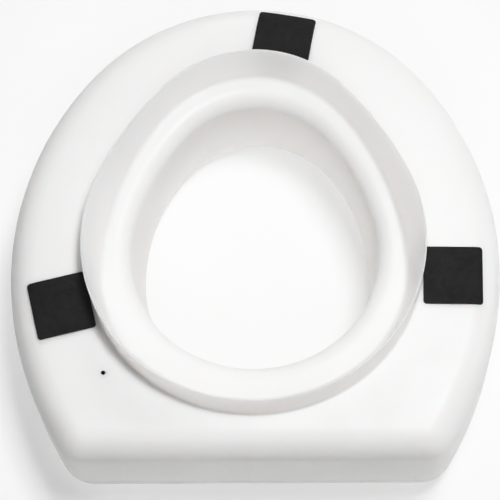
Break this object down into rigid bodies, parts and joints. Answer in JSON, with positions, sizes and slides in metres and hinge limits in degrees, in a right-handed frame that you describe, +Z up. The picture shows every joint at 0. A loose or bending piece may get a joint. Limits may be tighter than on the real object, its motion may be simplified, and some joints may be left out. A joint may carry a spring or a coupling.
{
  "type": "raised toilet seat",
  "caption": "Hollow moulded raised toilet seat, underside up, with an egg-shaped locating collar and black square slip-resistant pads.",
  "frame": {"origin": "on the ground, at the centre of the plan box, under the part as it lies upside down on its sitting face", "axes": "+Z up, out of the underside, the way the collar points; +Y towards the rounded front of the seat; +X across it. Turn the part 180 degrees about Y to put it in use on a bowl"},
  "size_m": [0.398, 0.3885, 0.155],
  "materials": {
    "seat_plastic": "white polyethylene with a fine moulded grain",
    "pad_rubber": "black fine-textured slip-resistant rubber",
    "adhesive": "thin pale self-adhesive layer"
  },
  "bodies": {
    "root": {"seat_body": "seat_plastic", "pad_front": "pad_rubber", "pad_left": "pad_rubber", "pad_right": "pad_rubber", "adhesive_front": "adhesive", "adhesive_left": "adhesive", "adhesive_right": "adhesive"}
  },
  "joints": []
}
